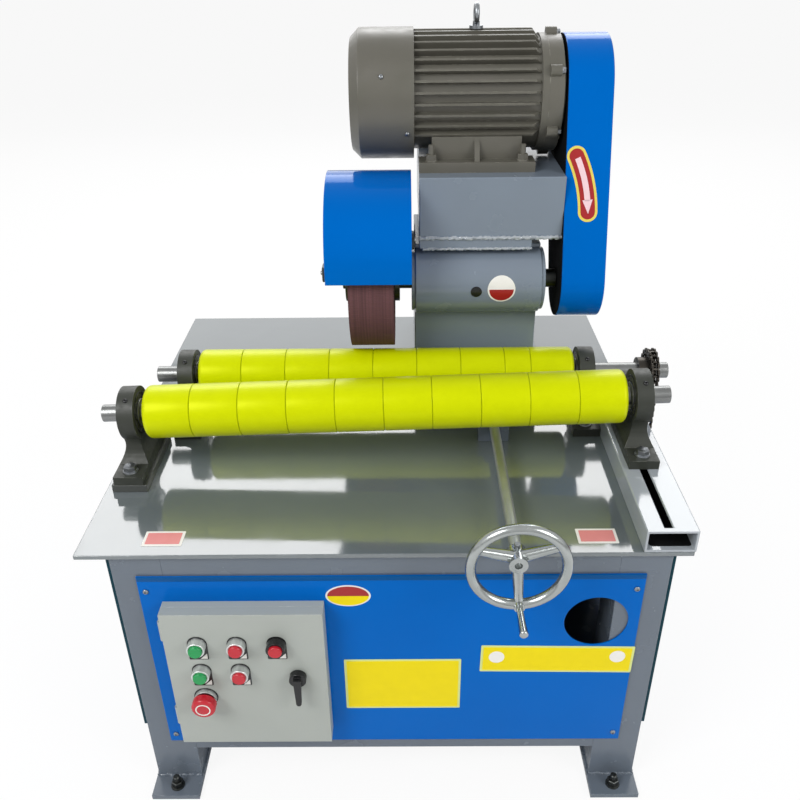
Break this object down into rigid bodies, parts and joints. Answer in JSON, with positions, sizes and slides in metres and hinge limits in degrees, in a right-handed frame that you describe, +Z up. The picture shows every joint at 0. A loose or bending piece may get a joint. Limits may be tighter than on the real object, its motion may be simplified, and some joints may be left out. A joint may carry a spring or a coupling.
{
  "type": "tube polishing machine",
  "caption": "Floor-standing tube polishing machine: welded table, two sleeved rollers in pillow blocks, and a sliding motor head with an abrasive wheel, belt guard and control box.",
  "frame": {"origin": "on the floor, in the middle of the four anchor holes of the foot plates", "axes": "+X to the operator's right along the rollers, +Y to the rear along the head's slide, +Z up"},
  "size_m": [1.0162, 1.051, 1.2573],
  "materials": {
    "grey_paint": "glossy grey machine paint",
    "blue_paint": "glossy blue paint on sheet steel",
    "box_paint": "pale grey powder coat",
    "motor_paint": "satin grey paint on cast metal",
    "cast_housing": "painted grey cast iron",
    "bright_steel": "turned steel",
    "chrome": "bright plated steel",
    "chain_steel": "oiled chain steel",
    "yellow_sleeve": "bright yellow polyurethane",
    "abrasive": "reddish brown abrasive cloth",
    "black_plastic": "black moulded plastic",
    "green_button": "green moulded plastic",
    "red_button": "red moulded plastic"
  },
  "bodies": {
    "root": {"foot_plates": "grey_paint", "legs": "grey_paint", "cross_rails": "grey_paint", "side_rails": "grey_paint", "table_plate": "grey_paint", "front_panel": "blue_paint", "rear_panel": "blue_paint", "left_panel": "blue_paint", "right_panel": "blue_paint", "control_box": "box_paint", "slotted_rail": "grey_paint", "packer_plate": "grey_paint", "front_left_block": "cast_housing", "front_right_block": "cast_housing", "rear_left_block": "cast_housing", "rear_right_block": "cast_housing", "chain": "chain_steel", "drive_sprocket": "chain_steel", "drive_unit": "cast_housing", "drive_shelf": "grey_paint", "slide_base": "grey_paint", "screw_support": "grey_paint"},
    "door": {"control_door": "box_paint", "button_bezels": "chrome", "stop_collar": "black_plastic"},
    "lock": {"door_lock": "black_plastic"},
    "stop_button": {"emergency_stop": "red_button"},
    "front_roller": {"front_shaft": "bright_steel", "front_sleeves": "yellow_sleeve"},
    "rear_roller": {"rear_shaft": "bright_steel", "rear_sleeves": "yellow_sleeve", "roller_sprocket": "chain_steel"},
    "hand_screw": {"lead_screw": "bright_steel", "handwheel": "chrome", "crank_handle": "chrome"},
    "head": {"saddle": "grey_paint", "pedestal": "grey_paint", "spindle_housing": "grey_paint", "wheel_hood": "blue_paint", "motor_seat": "grey_paint", "motor_frame": "motor_paint", "fan_cover": "motor_paint", "end_shield": "motor_paint", "terminal_box": "motor_paint", "lifting_eye": "bright_steel", "belt_guard": "blue_paint"},
    "wheel_spindle": {"spindle": "bright_steel", "abrasive_wheel": "abrasive"},
    "button_1": {"button_1": "green_button"},
    "button_2": {"button_2": "red_button"},
    "button_3": {"button_3": "red_button"},
    "button_4": {"button_4": "green_button"},
    "button_5": {"button_5": "red_button"}
  },
  "joints": [
    {"name": "front_roller_turn", "type": "hinge", "parent": "root", "child": "front_roller", "pos_m": [-0.011, -0.192, 0.662], "axis": [0.9996, 0, 0.0299], "continuous": true},
    {"name": "rear_roller_turn", "type": "hinge", "parent": "root", "child": "rear_roller", "pos_m": [-0.011, -0.026, 0.635], "axis": [1, 0, 0], "continuous": true},
    {"name": "head_slide", "type": "slide", "parent": "root", "child": "head", "axis": [0, 1, 0], "range_m": [0, 0.13]},
    {"name": "handwheel_turn", "type": "hinge", "parent": "root", "child": "hand_screw", "pos_m": [0.187, -0.44, 0.573], "axis": [0, -1, 0], "range_deg": [0, 9360.01]},
    {"name": "wheel_turn", "type": "hinge", "parent": "head", "child": "wheel_spindle", "pos_m": [-0.011, 0.04, 0.79708], "axis": [1, 0, 0], "continuous": true},
    {"name": "door_swing", "type": "hinge", "parent": "root", "child": "door", "pos_m": [-0.3702, -0.45, 0.145], "axis": [0, 0, -1], "range_deg": [0, 110]},
    {"name": "lock_turn", "type": "hinge", "parent": "door", "child": "lock", "pos_m": [-0.154, -0.4683, 0.308], "axis": [0, 1, 0], "range_deg": [0, 90]},
    {"name": "stop_press", "type": "slide", "parent": "door", "child": "stop_button", "axis": [0, 1, 0], "range_m": [0, 0.005], "stiffness_N_per_m": 400},
    {"name": "button_1_press", "type": "slide", "parent": "door", "child": "button_1", "axis": [0, 1, 0], "range_m": [0, 0.004], "stiffness_N_per_m": 400},
    {"name": "button_2_press", "type": "slide", "parent": "door", "child": "button_2", "axis": [0, 1, 0], "range_m": [0, 0.004], "stiffness_N_per_m": 400},
    {"name": "button_3_press", "type": "slide", "parent": "door", "child": "button_3", "axis": [0, 1, 0], "range_m": [0, 0.004], "stiffness_N_per_m": 400},
    {"name": "button_4_press", "type": "slide", "parent": "door", "child": "button_4", "axis": [0, 1, 0], "range_m": [0, 0.004], "stiffness_N_per_m": 400},
    {"name": "button_5_press", "type": "slide", "parent": "door", "child": "button_5", "axis": [0, 1, 0], "range_m": [0, 0.004], "stiffness_N_per_m": 400}
  ],
  "couplings": [
    {"joint": "handwheel_turn", "follows": "head_slide", "rad_per_m": 1256.6}
  ]
}
